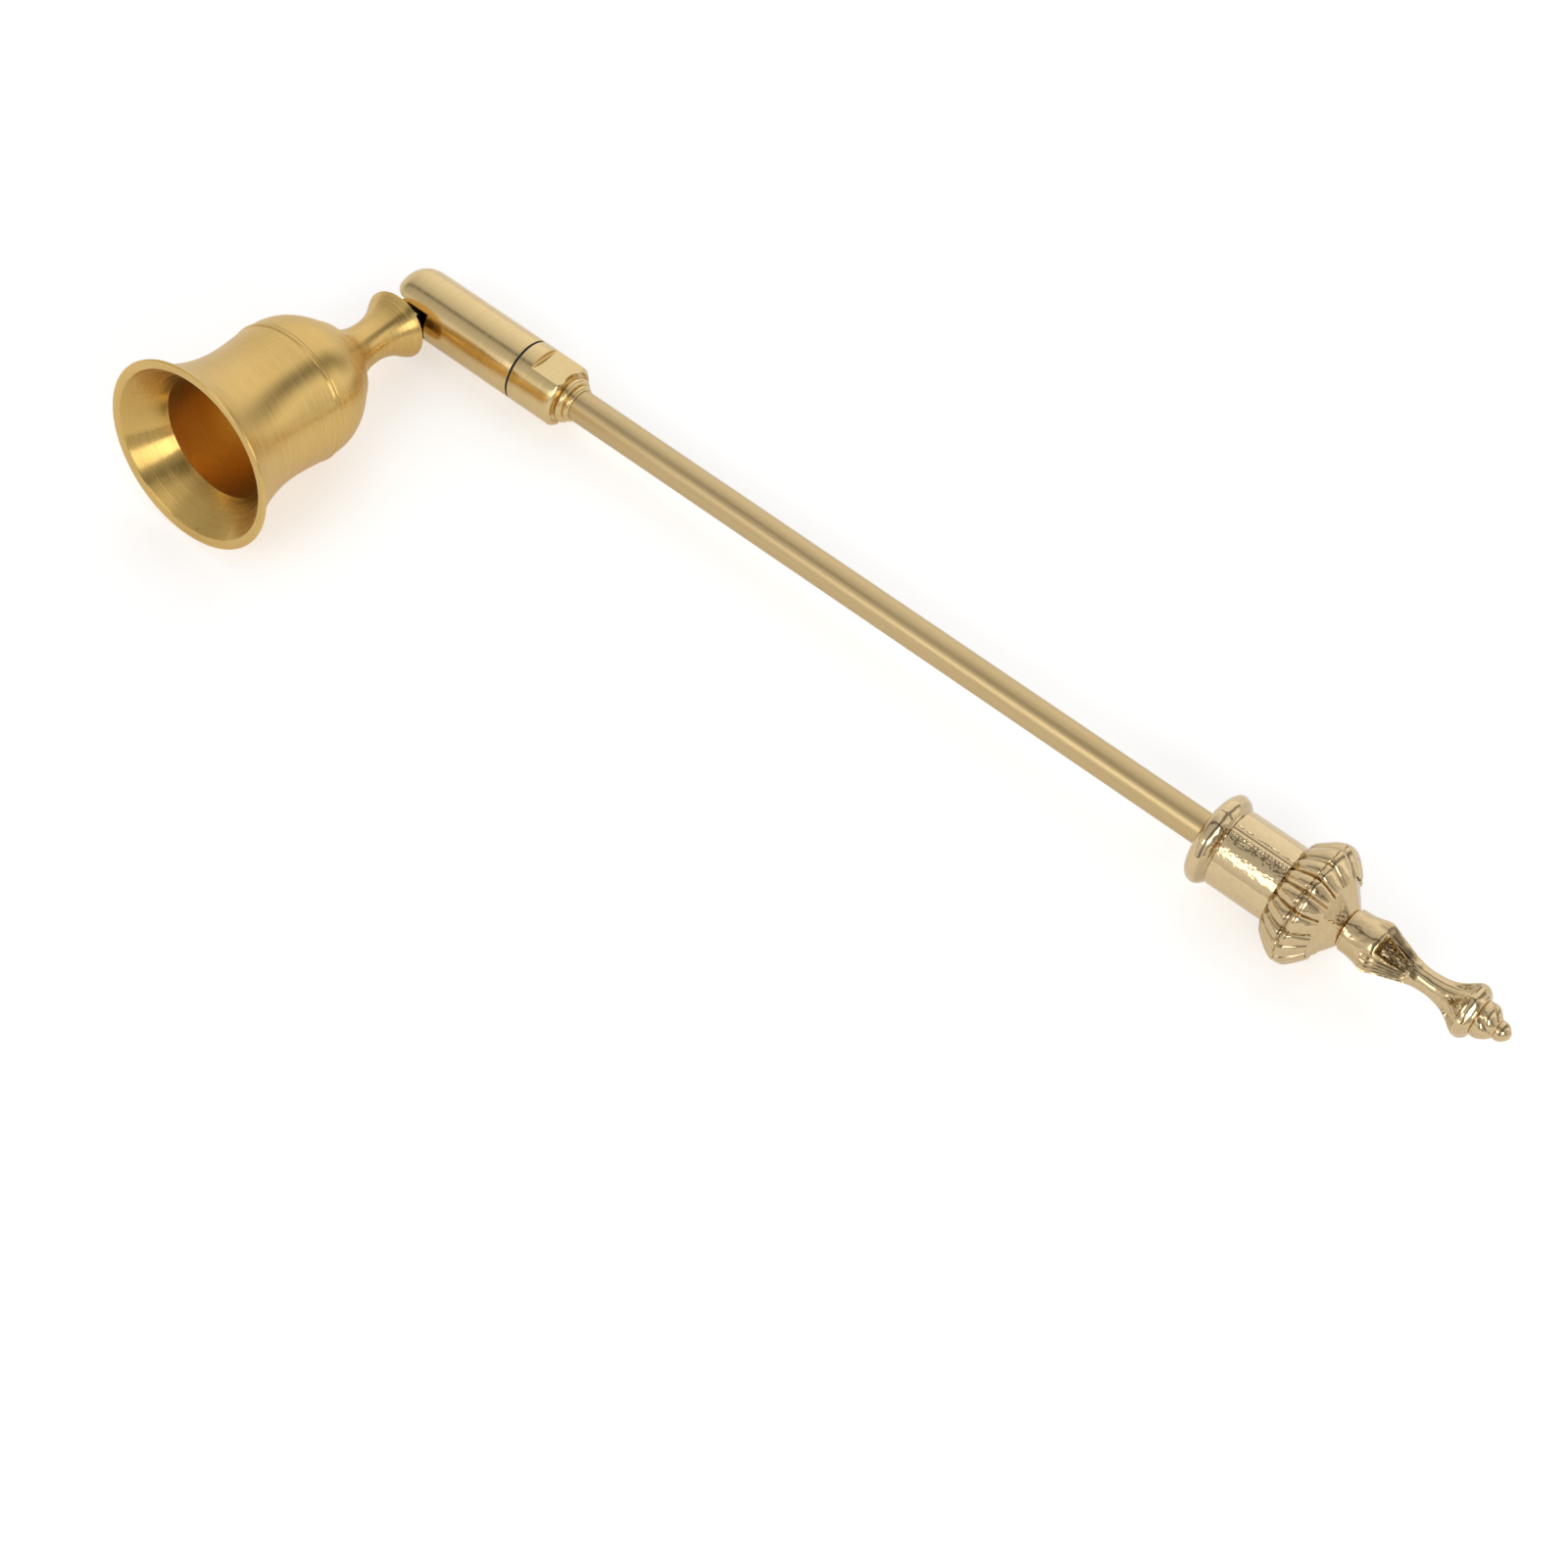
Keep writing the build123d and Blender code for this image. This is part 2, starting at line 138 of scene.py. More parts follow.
def across(angle, turn, count):
    """Place between two creases of a piece with this many sides: -1 and 1 at the creases, 0 halfway."""
    return ((angle - turn) * count / 360) % 1.0 * 2 - 1


def petal_at(angle):
    """The uneven petal at this angle, whose widths in degrees go twice round the knop: its number,
    the place across it from -1 to 1, and its width."""
    left = (angle - PETAL_START) % 180
    for number, width in enumerate(PETAL_WIDTHS):
        if left <= width:
            return number, 2 * left / width - 1, width
        left -= width


# Mesh makers

def turned_piece(outline, axis, steps, closed=False):
    """A piece turned about the rod or the bell axis from an outline of (place along it, radius)."""
    bm = bmesh.new()
    if axis == ROD_AXIS:
        line = [bm.verts.new((along, radius, 0)) for along, radius in outline]
    else:
        line = [bm.verts.new((radius, -along, 0)) for along, radius in outline]
    edges = [bm.edges.new(pair) for pair in zip(line, line[1:])]
    if closed:
        edges.append(bm.edges.new((line[-1], line[0])))
    bmesh.ops.spin(bm, geom=line + edges, cent=(0, 0, 0), axis=axis, dvec=(0, 0, 0),
                   angle=FULL_TURN, steps=steps, use_merge=True)
    bmesh.ops.remove_doubles(bm, verts=bm.verts, dist=1e-5)
    bmesh.ops.recalc_face_normals(bm, faces=bm.faces)
    return bm


def cast_skin(bm, least_radius, relief):
    """Gives a turned piece its cast skin: relief(place, radius, angle, point) says how far it rises,
    how far it slides along the rod and how dark it is painted: bronze in pits, painted shade in creases."""
    hollow = bm.verts.layers.float.new("hollow")
    for vert in bm.verts:
        radius = math.hypot(vert.co.y, vert.co.z)
        if radius > least_radius:
            angle = math.degrees(math.atan2(vert.co.z, vert.co.y)) % 360
            rise, slide, depth = relief(vert.co.x, radius, angle, vert.co.copy())
            share = 1 + rise / radius
            vert[hollow] = depth
            vert.co = (vert.co.x + slide, vert.co.y * share, vert.co.z * share)
    return bm


def bench_object(name, bm):
    """A scratch object in bench millimetres."""
    mesh = bpy.data.meshes.new(name)
    bm.to_mesh(mesh)
    bm.free()
    piece = bpy.data.objects.new(name, mesh)
    bpy.context.scene.collection.objects.link(piece)
    return piece


def milled(bm, cutters):
    """The piece with each cutter's shape taken out of it."""
    stock = bench_object("stock", bm)
    tools = [bench_object("tool", cutter) for cutter in cutters]
    for tool in tools:
        cut = stock.modifiers.new("cut", "BOOLEAN")
        cut.operation = "DIFFERENCE"
        cut.solver = "EXACT"
        cut.object = tool
    bpy.context.view_layer.update()
    shaped = bpy.data.meshes.new_from_object(stock.evaluated_get(bpy.context.evaluated_depsgraph_get()))
    result = bmesh.new()
    result.from_mesh(shaped)
    for scrap in [stock, *tools]:
        bpy.data.objects.remove(scrap)
    bpy.data.meshes.remove(shaped)
    bmesh.ops.remove_doubles(result, verts=result.verts, dist=1e-5)
    return result


def place(name, bm, body, finishes, nodes, crease=28):
    """Lays a bench piece on the table, gives it its finishes and lets it ride on its body."""
    bmesh.ops.transform(bm, matrix=bench_to_table, verts=bm.verts)
    mesh = bpy.data.meshes.new(name)
    bm.to_mesh(mesh)
    bm.free()
    mesh.shade_smooth()
    mesh.set_sharp_from_angle(angle=math.radians(crease))
    for finish in finishes:
        mesh.materials.append(finish)
    piece = bpy.data.objects.new(name, mesh)
    bpy.context.scene.collection.objects.link(piece)
    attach(piece, body)
    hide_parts(*nodes)


# Finishes

def add_node(tree, kind, settings=None, values=None):
    """A shader node with its settings and socket values."""
    made = tree.nodes.new(kind)
    for name, value in (settings or {}).items():
        setattr(made, name, value)
    for name, value in (values or {}).items():
        made.inputs[name].default_value = value
    return made


def new_finish(name):
    """An empty material, its tree, its shader, and bench millimetres as a vector."""
    finish = bpy.data.materials.new(name)
    finish.use_nodes = True
    tree = finish.node_tree
    tree.nodes.clear()
    shader = add_node(tree, "ShaderNodeBsdfPrincipled")
    output = add_node(tree, "ShaderNodeOutputMaterial")
    tree.links.new(shader.outputs["BSDF"], output.inputs["Surface"])
    coordinates = add_node(tree, "ShaderNodeTexCoord")
    to_bench = bench_turn.transposed()
    bench = add_node(tree, "ShaderNodeMapping", values={
        "Location": -(to_bench @ pivot) / MM,
        "Rotation": to_bench.to_euler(),
        "Scale": (1 / MM, 1 / MM, 1 / MM),
    })
    tree.links.new(coordinates.outputs["Object"], bench.inputs["Vector"])
    return finish, tree, shader, bench.outputs["Vector"]


def grain(tree, vector, scale, detail=3.0, roughness=0.55):
    """Noise stretched by three scales, in features per millimetre."""
    stretch = add_node(tree, "ShaderNodeMapping", values={"Scale": scale})
    pattern = add_node(tree, "ShaderNodeTexNoise", values={
        "Scale": 1.0, "Detail": detail, "Roughness": roughness})
    tree.links.new(vector, stretch.inputs["Vector"])
    tree.links.new(stretch.outputs["Vector"], pattern.inputs["Vector"])
    return pattern.outputs["Fac"]


def ranged(tree, value, low, high, start=0.3, end=0.7):
    """The value carried from start..end to low..high."""
    carry = add_node(tree, "ShaderNodeMapRange", values={
        "From Min": start, "From Max": end, "To Min": low, "To Max": high})
    tree.links.new(value, carry.inputs["Value"])
    return carry.outputs["Result"]


def two_tones(tree, share, first, second):
    """A colour between two tones; the first may be the colour of another node."""
    mix = add_node(tree, "ShaderNodeMix", settings={"data_type": "RGBA"})
    if isinstance(first, tuple):
        mix.inputs["A"].default_value = (*first, 1)
    else:
        tree.links.new(first, mix.inputs["A"])
    mix.inputs["B"].default_value = (*second, 1)
    tree.links.new(share, mix.inputs["Factor"])
    return mix.outputs["Result"]


def bumped(tree, shader, height, depth):
    """A bump of the given depth in millimetres."""
    bump = add_node(tree, "ShaderNodeBump", values={"Distance": depth * MM})
    tree.links.new(height, bump.inputs["Height"])
    tree.links.new(bump.outputs["Normal"], shader.inputs["Normal"])


def brushed_around(tree, shader, axis, stretch=0.9):
    """Stretches the gloss along the bench axis that the tool lines run round."""
    shader.inputs["Anisotropic"].default_value = stretch
    along = add_node(tree, "ShaderNodeVectorTransform",
                     {"vector_type": "VECTOR", "convert_from": "OBJECT", "convert_to": "WORLD"},
                     {"Vector": bench_turn @ Vector(axis)})
    tree.links.new(along.outputs["Vector"], shader.inputs["Tangent"])


def worked_metal(name, dark, light, lines, patches, rough, line_depth, stain_and_shade=None, brushed=None):
    """Metal with fine tool lines and broad patches, whose stretch is in features per millimetre along the
    bench axes. A stain darkens specks, or paints bronze and shade into the hollows of a cast skin.
    Brushed names the axis that the lines run round."""
    finish, tree, shader, bench = new_finish(name)
    fine = grain(tree, bench, lines, detail=4.0, roughness=0.62)
    broad = grain(tree, bench, patches, detail=2.0)
    tone = two_tones(tree, ranged(tree, fine, 0.0, 1.0), dark, light)
    tone = two_tones(tree, ranged(tree, broad, 0.0, 0.35), tone, dark)
    if stain_and_shade:
        share, colour = stain_and_shade(tree, bench)
        tone = two_tones(tree, share, tone, colour)
    shader.inputs["Metallic"].default_value = 1.0
    tree.links.new(tone, shader.inputs["Base Color"])
    tree.links.new(ranged(tree, fine, *rough), shader.inputs["Roughness"])
    bumped(tree, shader, fine, line_depth)
    if brushed:
        brushed_around(tree, shader, brushed)
    return finish


def dark_pits(tree, bench):
    """Small dark pits left in the turned brass."""
    specks = grain(tree, bench, (1.6, 1.6, 1.6), detail=1.0)
    return ranged(tree, specks, 0.0, 0.7, 0.73, 0.80), (0.20, 0.11, 0.03)


def bronze_and_painted_shade(tree, bench):
    """Unpolished bronze in pits and recesses of the cast skin, with painted shade in its creases, grooves,
    cove and under edges, and a painted reflection on the petals' front faces.
    """
    depth = add_node(tree, "ShaderNodeAttribute", {"attribute_name": "hollow"})
    # The dark bronze colour is partly the metal's own and partly painted shade.
    return ranged(tree, depth.outputs["Fac"], 0.0, 0.92, 0.05, 1.0), (0.13, 0.085, 0.04)


TURNED_LINES = (0.08, 3.2, 0.08)
TURNED_PATCHES = (0.08, 0.4, 0.08)
bell_satin = worked_metal("bell_satin_brass", (0.71, 0.468, 0.15), (0.86, 0.597, 0.225),
                          TURNED_LINES, TURNED_PATCHES, (0.24, 0.34), 0.005, brushed=BELL_AXIS)
# The bore's brass is a lighter copy of the bell's brass: painted light inside the cup.
bore_brass_painted_light = worked_metal("bell_bore_brass_painted_light", (0.86, 0.58, 0.20), (0.93, 0.66, 0.26),
                         TURNED_LINES, TURNED_PATCHES, (0.28, 0.40), 0.008, dark_pits)
# The flare's brass is a darker copy of the bell's brass: painted shade on the mouth's inner face.
flare_brass_painted_shade = worked_metal("bell_flare_brass_painted_shade", (0.64, 0.42, 0.125), (0.74, 0.50, 0.165),
                          TURNED_LINES, TURNED_PATCHES, (0.20, 0.30), 0.005, dark_pits, BELL_AXIS)
barrel_polish = worked_metal("barrel_polished_brass", (0.74, 0.55, 0.265), (0.81, 0.62, 0.315),
                             (4.0, 0.10, 0.10), (0.3, 0.1, 0.1), (0.16, 0.26), 0.003)
rod_drawn = worked_metal("rod_drawn_brass", (0.62, 0.46, 0.225), (0.70, 0.53, 0.28),
                         (0.05, 4.0, 4.0), (0.08, 0.3, 0.3), (0.31, 0.43), 0.003)
cast_plate = worked_metal("handle_cast_gold", (0.73, 0.56, 0.32), (0.81, 0.63, 0.37),
                          (1.8, 1.8, 1.8), (0.3, 0.3, 0.3), (0.05, 0.13), 0.008, bronze_and_painted_shade)
# The knop and the finial take a darker copy of the handle gold: painted shade over the deep relief.
cast_relief_painted_shade = worked_metal("handle_relief_gold_painted_shade", (0.66, 0.495, 0.27), (0.77, 0.59, 0.34),
                           (1.8, 1.8, 1.8), (0.5, 0.5, 0.5), (0.05, 0.13), 0.008, bronze_and_painted_shade)
washer_black = worked_metal("washer_black_nylon", (0.008, 0.008, 0.008), (0.016, 0.015, 0.014),
                            (6.0, 6.0, 6.0), (1.0, 1.0, 1.0), (0.45, 0.65), 0.005)
washer_black.node_tree.nodes["Principled BSDF"].inputs["Metallic"].default_value = 0.0
stud_bright = worked_metal("stud_machined_steel", (0.40, 0.40, 0.41), (0.55, 0.55, 0.56),
                           (5.0, 0.2, 0.2), (0.3, 0.3, 0.3), (0.25, 0.40), 0.003)

# Inner pieces keep their solids
for node_name, finish in [("hinge_tongue", barrel_polish), ("pivot_pin", barrel_polish),
                          ("friction_washer_upper", washer_black), ("friction_washer_lower", washer_black),
                          ("swivel_washer", washer_black), ("swivel_stud", stud_bright),
                          ("disc_spring", stud_bright), ("tie_stud", stud_bright)]:
    solid = frame["nodes"][node_name]
    solid.data.materials.clear()
    solid.data.materials.append(finish)


# Bell

def bell_cup():
    dome = flow([(20.9, 6.93), (22.0, 7.74), (24.0, 9.24), (26.0, 10.32), (28.0, 10.89), (30.3, 11.06)], 8)
    groove = [(30.42, 11.06), (30.5, 11.0)]
    bead = flow([(30.56, 11.04), (30.7, 11.15), (30.9, 11.18), (31.1, 11.13), (31.22, 11.02)], 4)
    skirt = flow([(31.32, 10.95), (31.6, 10.99), (34.0, 10.80), (36.0, 10.67), (38.0, 10.64), (40.0, 10.76),
                  (42.0, 11.05), (44.0, 11.52), (46.0, 12.17), (48.0, 13.0), (49.5, 13.85), (50.2, 14.38)], 6)
    lip = flow([(50.2, 14.38), (50.42, 14.87), (50.6, 15.04), (50.8, 15.07), (50.93, 14.97),
                (50.98, 14.8)], 5)
    rim = [(50.98, 14.74), (50.80, 13.66), (50.72, 13.58)]
    flare = flow([(50.66, 13.53), (49.0, 12.26), (47.4, 11.12), (46.2, 10.36), (45.16, 9.81)], 8)
    bore = [(45.08, 9.76), (44.9, 9.78), (41.0, 9.78), (37.0, 9.78), (33.5, 9.78)]
    vault = flow([(30.0, 9.78), (27.2, 9.3), (24.8, 8.0), (23.3, 6.6), (22.6, 5.6), (22.5, 5.0)], 6)
    crown = [(22.5, SPIGOT_BORE), (20.9, SPIGOT_BORE)]
    outline = dome + groove + bead + skirt + lip[1:] + rim + flare + bore + vault + crown
    bm = turned_piece(outline, BELL_AXIS, 256, closed=True)
    # Inward faces above the bore's edge take the lighter bore brass (painted light), and those below it take
    # the darker flare brass (painted shade).
    for face in bm.faces:
        middle = face.calc_center_median()
        outward = Vector((middle.x, 0, middle.z)).normalized()
        if face.normal.dot(outward) < -0.3:
            face.material_index = 1 if middle.y > -BORE_EDGE else 2
    return bm


def bell_neck():
    edge = eased([(7.3, 0.0), (7.3, 5.48), (8.1, 5.05)], 0.22)
    hollow = flow([(8.1, 5.05), (9.0, 4.48), (10.3, 3.82), (11.8, 3.38), (13.3, 3.2), (14.8, 3.25),
                   (16.1, 3.44), (17.2, 3.78), (18.1, 4.22), (19.0, 4.94), (19.9, 5.76), (20.5, 6.34),
                   (20.82, 6.64)], 8)
    spigot = [(20.9, 6.68), (20.9, SPIGOT_RADIUS), (22.45, SPIGOT_RADIUS),
              (22.5, SPIGOT_RADIUS - 0.05), (22.5, 0.0)]
    return turned_piece(edge[:-1] + hollow + spigot, BELL_AXIS, 192)


place("bell_cup_turned", bell_cup(), "bell", [bell_satin, bore_brass_painted_light, flare_brass_painted_shade], ["bell_cup"],
      crease=14)
place("bell_neck_turned", bell_neck(), "bell", [bell_satin], ["bell_neck"], crease=20)


# Head

def slot_cutter():
    """The slot: open at the tip and on the bell's side, round about the pivot inside."""
    bm = bmesh.new()
    corner = bm.verts.new((SLOT_ROUND, 0, -SLOT_HALF_WIDTH))
    arc = bmesh.ops.spin(bm, geom=[corner], cent=(0, 0, 0), axis=(0, 0, 1), dvec=(0, 0, 0),
                         angle=math.pi / 2, steps=32)
    arc_end = [item for item in arc["geom_last"] if isinstance(item, bmesh.types.BMVert)][0]
    far = 20.0
    rest = [bm.verts.new((x, y, -SLOT_HALF_WIDTH)) for x, y in
            [(-far, SLOT_ROUND), (-far, -far), (SLOT_ROUND, -far)]]
    for pair in zip([arc_end, *rest], [*rest, corner]):
        bm.edges.new(pair)
    face = bmesh.ops.contextual_create(bm, geom=bm.edges[:])["faces"]
    lifted = bmesh.ops.extrude_face_region(bm, geom=face)["geom"]
    top = [item for item in lifted if isinstance(item, bmesh.types.BMVert)]
    bmesh.ops.translate(bm, verts=top, vec=(0, 0, 2 * SLOT_HALF_WIDTH))
    bmesh.ops.recalc_face_normals(bm, faces=bm.faces)
    return bm


def barrel():
    tip = flow([(-4.75, 0.98), (-4.46, 2.46), (-3.63, 3.76), (-2.36, 4.64), (-0.85, BARREL_RADIUS)], 8)
    body = [(4.0, BARREL_RADIUS), (9.0, BARREL_RADIUS), (14.0, BARREL_RADIUS)]
    back = [(19.5, BARREL_RADIUS), (19.59, 4.96), (19.64, 4.90), (19.64, 4.85), (19.6, 4.82), (19.6, 0.0)]
    return milled(turned_piece([(-4.75, 0.0)] + tip + body + back, ROD_AXIS, 256), [slot_cutter()])


def flat_cutter(side):
    """A box that mills one flat of the collar, with a small round at the shoulder's foot."""
    bm = bmesh.new()
    bmesh.ops.create_cube(bm, size=1.0)
    length, width, height = 8.0, 20.0, 4.0
    bmesh.ops.scale(bm, vec=(length, width, height), verts=bm.verts)
    middle = (FLAT_START + length / 2, 0, side * (FLAT_HEIGHT + height / 2))
    bmesh.ops.translate(bm, vec=middle, verts=bm.verts)
    foot = [edge for edge in bm.edges
            if all(abs(vert.co.x - FLAT_START) < 0.01 and abs(vert.co.z - side * FLAT_HEIGHT) < 0.01
                   for vert in edge.verts)]
    bmesh.ops.bevel(bm, geom=foot, offset=FLAT_FOOT_ROUND, segments=3, profile=0.5,
                    affect="EDGES", material=-1)
    return bm


def collar():
    front = [(20.05, 1.6), (20.05, 4.82), (20.02, 4.85), (20.02, 4.90), (20.08, 4.96), (20.17, BARREL_RADIUS)]
    back = eased([(26.5, BARREL_RADIUS), (27.5, BARREL_RADIUS), (28.0, 4.52), (27.97, 4.3), (27.45, 4.05),
                  (27.4, 3.3)], 0.09, 3)
    body = [(22.0, BARREL_RADIUS), (24.0, BARREL_RADIUS)]
    stock = turned_piece(front + body + back + [(23.0, 3.3), (23.0, 1.6)], ROD_AXIS, 256, closed=True)
    return milled(stock, [flat_cutter(1), flat_cutter(-1)])


def plug():
    crest = flow([(27.9, 3.3), (28.05, 3.5), (28.35, 3.68), (28.62, 3.7), (28.9, 3.65),
                  (29.12, 3.45), (29.2, 3.2)], 5)
    outline = [(25.85, 3.29), (27.5, 3.29)] + crest + [(29.2, ROD_BORE), (25.85, ROD_BORE)]
    return turned_piece(outline, ROD_AXIS, 192, closed=True)


def ring():
    crest = flow([(29.3, 2.97), (29.55, 3.0), (29.8, 2.97), (30.0, 2.85), (30.1, 2.68)], 5)
    outline = [(29.2, ROD_BORE), (29.2, 2.9)] + crest + [(30.1, ROD_BORE)]
    return turned_piece(outline, ROD_AXIS, 192, closed=True)


place("barrel_slotted", barrel(), "head", [barrel_polish], ["barrel"])
place("collar_milled", collar(), "handle", [barrel_polish], ["end_collar"], crease=20)
place("plug_flange", plug(), "handle", [barrel_polish], ["collar_plug"])
place("rod_end_ring", ring(), "handle", [barrel_polish], ["rod_ring"])


# Rod and handle

def rod():
    wall = straight((30.0, ROD_RADIUS), (ROD_END, ROD_RADIUS), 15)
    return turned_piece([(ROD_START, 0.0), (ROD_START, ROD_RADIUS)] + wall + [(ROD_END, 0.0)], ROD_AXIS, 128)


def sleeve_skin(where, radius, angle, point):
    """A broken parting line, a cusped ridge beside it and a pebbled side; the rest is nearly smooth."""
    on_wall = rising(where, 148.4, 148.7)
    on_side = on_wall * within(angle, 114.0, 150.0, 4.0)
    parting = 0.14 * hump(angle, 100.7, 1.1) * rising(noise.noise(point * 1.1), -0.3, 0.1)
    teeth = abs(math.sin(math.pi * where / 0.6 + noise.noise(point)))
    cusps = on_wall * (0.2 * hump(angle, 113.0, 2.6) * teeth - 0.09 * hump(angle, 108.5, 1.8))
    pebbles = on_side * (0.03 * noise.noise(point * 2.0) + 0.022 * noise.noise(point * 4.2))
    dents = 0.16 * (1 - on_wall) * noise.noise(point * 0.55) * rising(where, 144.7, 145.6)
    swell = 0.03 * on_wall * noise.noise(point * 0.35)
    wander = 0.12 * hump(where, 148.45, 0.2) * noise.noise(Vector((angle / 9, 0, 7)))
    # The cove behind the flange is darkened: painted shade.
    in_cove = max(0.5 * hump(where, 148.36, 0.16), 0.28 * within(where, 147.2, 148.4, 0.3))
    return parting + cusps + pebbles + dents + swell, wander, in_cove


def sleeve():
    flange = flow([(144.6, 3.6), (144.75, 4.9), (145.1, 5.95), (145.65, 6.7), (146.4, 6.98), (147.1, 6.82),
                   (147.7, 6.38), (148.1, 5.92), (148.3, 5.74)], 7)
    wall = straight((148.62, 5.9), (157.85, 5.9), 78)
    end = [(158.08, 5.89), (SLEEVE_END, 5.82)]
    inside = [(SLEEVE_END, STUD_BORE), (ROD_END, STUD_BORE), (ROD_END, ROD_BORE)]
    outline = [(144.6, ROD_BORE)] + flange + [(148.4, 5.7), (148.5, 5.88)] + wall + end + inside
    return cast_skin(turned_piece(outline, ROD_AXIS, 420, closed=True), 3.0, sleeve_skin)


def knop_skin(where, radius, angle, point):
    """Uneven petals, round before the crest line and flat behind it, over a cone with flat sides."""
    swell = 0.07 * noise.noise(point * 0.6) + 0.025 * noise.noise(point * 1.6) - 0.04
    if radius < CONE_REACH and where > KNOP_CREST:
        half_side = 180 / CONE_SIDES
        share = math.cos(math.radians(half_side)) / math.cos(
            math.radians(across(angle, CONE_TURN, CONE_SIDES) * half_side))
        patch = within(where, 166.7, 168.2, 0.4) * within(angle, 108.0, 143.0, 5.0)
        pits = patch * rising(noise.noise(point * 1.9), -0.2, 0.5)
        # The cone under the knop's rear edge is darkened fully: painted shade; the pits are brown bronze.
        under = 1 - rising(where, 165.38, 165.6)
        return radius * (share - 1) + swell - 0.12 * pits, 0.0, max(under, 0.6 * pits)
    # The hidden faces inside the lip are painted dark: painted shade.
    if radius < LIP_RADIUS:
        return 0.0, 0.0, 1.0
    petal, t, width = petal_at(angle)
    own = noise.noise(Vector((petal * 1.7, 0.4, 2.2)))
    size = math.sqrt(width / 16)
    low_side = rising(angle % 180, 115, 135)
    crest_line = hump(where, KNOP_CREST, 0.12 + 0.3 * low_side)
    # Creases between petals and the crest line are painted dark as well as cut: painted shade.
    crease = 0.5 * rising(abs(t), 0.88, 1.0)
    crest_depth = (0.06 + 0.26 * low_side) * crest_line
    if where < KNOP_CREST:
        depth = size * (0.45 + 0.65 * rising(where, 158.6, 160.6))
        fall = depth * (1 - math.sqrt(1 - 0.98 * t * t))
        on_edge = 1 - rising(where, 158.2, 160.2)
        # The petals' steep front faces are painted brown: a painted reflection.
        face = 0.42 * (1 - rising(where, 158.3, 159.5))
        slide = on_edge * size * (0.6 * t * t - 0.25 + 0.15 * own)
        return swell - fall - crest_depth, slide, max(face, crease, 0.5 * crest_line)
    depth = size * (0.25 * t * t + 0.45 * abs(t) ** 8)
    tilt = 0.2 * own * t
    end_slide = rising(where, 164.2, 165.5) * (0.25 * (1 - t * t) + 0.1 * own)
    return swell - 0.02 - depth + tilt - crest_depth, end_slide, max(crease, 0.5 * crest_line)


def knop():
    front = flow([(158.25, 6.1), (158.45, 6.72), (158.8, 7.32), (159.4, 7.98), (160.2, 8.66), (161.0, 9.17),
                  (161.7, 9.5), (162.2, 9.62)], 7)
    line = [(162.3, 9.58), (KNOP_CREST, 9.54), (162.46, 9.58)]
    panel = flow([(162.56, 9.62), (163.3, 9.4), (164.1, 8.76), (164.8, 7.98), (165.5, 6.98)], 6)
    edge = [(165.56, 6.9), (165.53, 6.8), (165.4, 6.74)]
    cone = straight((165.42, 6.7), (168.1, 3.25), 14)
    outline = [(SLEEVE_END, STUD_BORE), (SLEEVE_END, 5.6), (158.2, 5.9)] + front + line + panel + edge + cone
    stock = turned_piece(outline + [(KNOP_END, 2.95), (KNOP_END, STUD_BORE)], ROD_AXIS, 480, closed=True)
    return cast_skin(stock, 2.0, knop_skin)


def finial_skin(where, radius, angle, point):
    """Six ribs. Between them come panels, deep hollows, grooved leaves, a plain waist and hollows in
    the flare."""
    wind = 4.0 * min(3.5, max(0.0, where - 174.5))
    t = across(angle - wind + 4.0 * noise.noise(point * 1.1), RIB_TURN, RIBS)
    leaf_side = math.floor((angle - RIB_TURN) * RIBS / 360) % 2 < 1
    coarse = noise.noise(point * 2.0)
    panel = 0.14 * (1 - t * t) * within(where, 168.9, 170.2, 1.0)
    bulge = 0.16 * within(where, 171.9, 173.3, 0.9) * (1 - t * t)
    rise = bulge - panel + 0.05 * noise.noise(point * 0.9) + 0.025 * coarse * within(where, 168.8, 171.5, 0.5)
    depth = 0.0
    if leaf_side:
        on_leaf = within(where, 172.0, 178.5, 0.6)
        groove = 1 + math.cos(math.radians(angle - RIB_TURN) * 28)
        rise -= on_leaf * (0.2 * (1 - t * t) + 0.11 * groove)
        # The leaf grooves are painted dark: painted shade.
        depth = 0.16 * on_leaf * groove
    else:
        floor = (1 - rising(abs(t), 0.76, 0.92)) * within(where, 173.8, 178.6, 0.35)
        grit = 0.16 * coarse + 0.12 * noise.noise(point * 4.4)
        rise -= floor * (min(1.15, max(0.0, radius - 1.95)) - grit)
        # The recess floors are dark unpolished bronze with painted shade over them.
        depth = floor * (0.95 - 0.7 * rising(noise.noise(point * 2.7), 0.12, 0.4))
    line = within(where, 177.5, 186.0, 0.6) * hump(angle % 120, 101.0, 3.0)
    spread = 0.12 + 0.68 * rising(where, 183.6, 187.6)
    hollow = within(where, 184.3, 187.4, 0.2) * (1 - rising(abs(t), spread - 0.1, spread + 0.12))
    boss = 0.5 * hump(where, 186.7, 0.4) * hump(t, 0.0, 0.25)
    pit = 0.5 * hump(where, 185.5, 0.45) * hump(t, 0.15, 0.28)
    rise -= 0.08 * line + hollow * (0.5 * rising(where, 184.2, 186.4) - boss + pit - 0.06 * coarse)
    rise -= 0.28 * (1 - t * t) * within(where, 187.6, 189.3, 0.25)
    twisted = across(angle - 24.0 * (where - 190.0), RIB_TURN + 20.0, RIBS - 1)
    rise -= 0.34 * abs(twisted) ** 3 * within(where, 189.75, 192.1, 0.2)
    lobe_crease = 0.55 * rising(abs(twisted), 0.8, 1.0) * within(where, 189.8, 192.0, 0.2)
    # The groove line, the flare's hollows and the lobe creases are painted dark (painted shade); the pits are
    # brown bronze.
    return rise, 0.0, max(depth, 0.5 * line, 0.3 * hollow, 1.6 * pit * hollow, lobe_crease)


